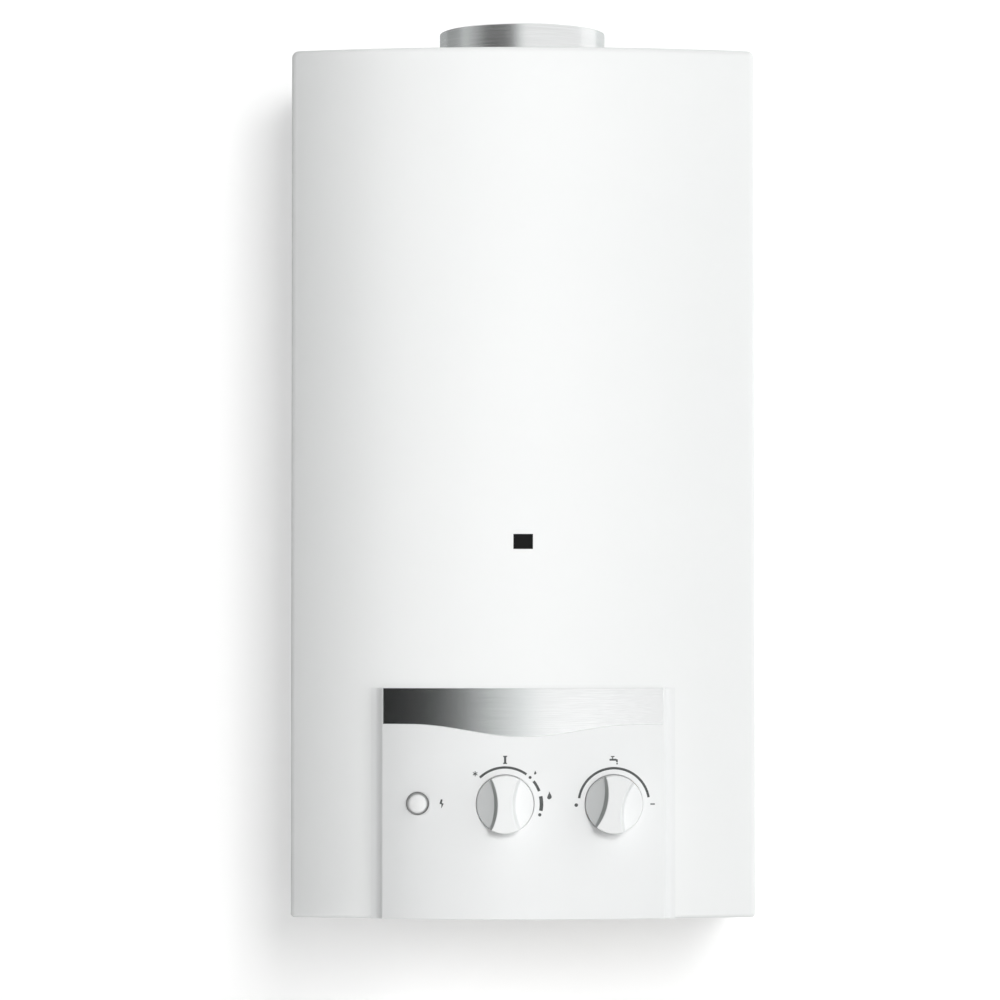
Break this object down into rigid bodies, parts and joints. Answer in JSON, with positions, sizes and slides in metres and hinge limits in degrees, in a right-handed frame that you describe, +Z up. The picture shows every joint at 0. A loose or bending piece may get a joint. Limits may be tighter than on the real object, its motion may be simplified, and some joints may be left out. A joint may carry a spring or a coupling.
{
  "type": "tankless gas water heater",
  "caption": "Wall-hung instantaneous gas water heater: bowed white casing, flue collar, control panel with turning knobs and push igniter, with gas valve, burner and heat exchanger inside.",
  "frame": {"origin": "midway between the two wall holes, on the wall's face", "axes": "+X right as seen from the front, +Y into the wall, +Z up; the front faces -Y"},
  "size_m": [0.31, 0.243, 0.6052],
  "materials": {
    "white_enamel": "white stoved enamel, satin gloss",
    "white_plastic": "moulded white plastic",
    "silver_band": "polished metal strip with a fine brush",
    "grey_button": "moulded light grey plastic",
    "sight_glass": "dark heat proof glass",
    "flue_metal": "drawn aluminium, satin",
    "galvanised": "zinc plated sheet",
    "spring_steel": "drawn wire",
    "stainless": "stainless sheet",
    "aluminised": "aluminised sheet",
    "brass": "turned and pressed brass",
    "cast_alloy": "die cast alloy",
    "copper": "copper sheet and tube, density close to brass",
    "black_rubber": "moulded rubber",
    "red_silicone": "silicone lead",
    "dark_plastic": "moulded dark plastic",
    "white_ceramic": "glazed ceramic with a wire"
  },
  "bodies": {
    "heater": {"back_plate": "galvanised", "burner_blades": "stainless", "burner_frame": "galvanised", "burner_jets": "brass", "burner_manifold": "galvanised", "button_spring": "spring_steel", "casing_screws": "galvanised", "casing_top": "white_enamel", "cold_inlet": "brass", "cold_pipe": "copper", "combustion_chamber": "copper", "control_panel": "white_plastic", "diaphragm": "black_rubber", "diaphragm_bolts": "galvanised", "exchanger_brackets": "galvanised", "exchanger_fins": "copper", "exchanger_tubes": "copper", "flue_collar": "flue_metal", "flue_hood": "aluminised", "front_casing": "white_enamel", "gas_bonnet": "galvanised", "gas_cap": "brass", "gas_disc_spring": "spring_steel", "gas_inlet": "brass", "gas_riser": "galvanised", "gas_valve_body": "cast_alloy", "hot_outlet": "brass", "hot_pipe": "copper", "ignition_electrode": "white_ceramic", "ignition_lead": "red_silicone", "magnet_unit": "galvanised", "panel_band": "silver_band", "piezo_bracket": "galvanised", "piezo_igniter": "dark_plastic", "piezo_nut": "galvanised", "pilot_bracket": "galvanised", "pilot_burner": "brass", "pilot_pipe": "copper", "plunger_spring": "spring_steel", "preheat_coil": "copper", "sight_frame": "galvanised", "sight_pane": "sight_glass", "spill_sensor": "dark_plastic", "spindle_gland": "brass", "thermocouple": "copper", "thermocouple_lead": "copper", "union_nuts": "brass", "valve_bracket": "galvanised", "water_strainer": "stainless", "water_valve_body": "brass", "water_valve_cover": "brass"},
    "pilot_plunger": {"pilot_plunger": "brass"},
    "gas_knob": {"gas_knob": "white_plastic", "gas_spindle": "brass"},
    "water_knob": {"water_knob": "white_plastic", "water_spindle": "brass"},
    "bypass_needle": {"bypass_needle": "brass"},
    "igniter_button": {"igniter_button": "grey_button"},
    "push_rod": {"push_rod": "brass", "gas_valve_disc": "black_rubber"}
  },
  "joints": [
    {"name": "gas_knob_press", "type": "slide", "parent": "heater", "child": "pilot_plunger", "axis": [0, 1, 0], "range_m": [0, 0.004], "stiffness_N_per_m": 900, "deforming": ["plunger_spring"]},
    {"name": "gas_knob_turn", "type": "hinge", "parent": "pilot_plunger", "child": "gas_knob", "pos_m": [-0.012, -0.22, -0.4685], "axis": [0, 1, 0], "range_deg": [-45, 107]},
    {"name": "water_knob_turn", "type": "hinge", "parent": "heater", "child": "water_knob", "pos_m": [0.06, -0.22, -0.4685], "axis": [0, 1, 0], "range_deg": [-100, 80]},
    {"name": "bypass_needle_slide", "type": "slide", "parent": "heater", "child": "bypass_needle", "axis": [0, 1, 0], "range_m": [-0.0018, 0.0015]},
    {"name": "igniter_press", "type": "slide", "parent": "heater", "child": "igniter_button", "axis": [0, 1, 0], "range_m": [0, 0.005], "stiffness_N_per_m": 800, "deforming": ["button_spring"]},
    {"name": "valve_rod_slide", "type": "slide", "parent": "heater", "child": "push_rod", "axis": [-1, 0, 0], "range_m": [0, 0.004], "stiffness_N_per_m": 600, "deforming": ["gas_disc_spring", "diaphragm"]}
  ],
  "couplings": [
    {"joint": "bypass_needle_slide", "follows": "water_knob_turn", "m_per_rad": 0.001}
  ]
}
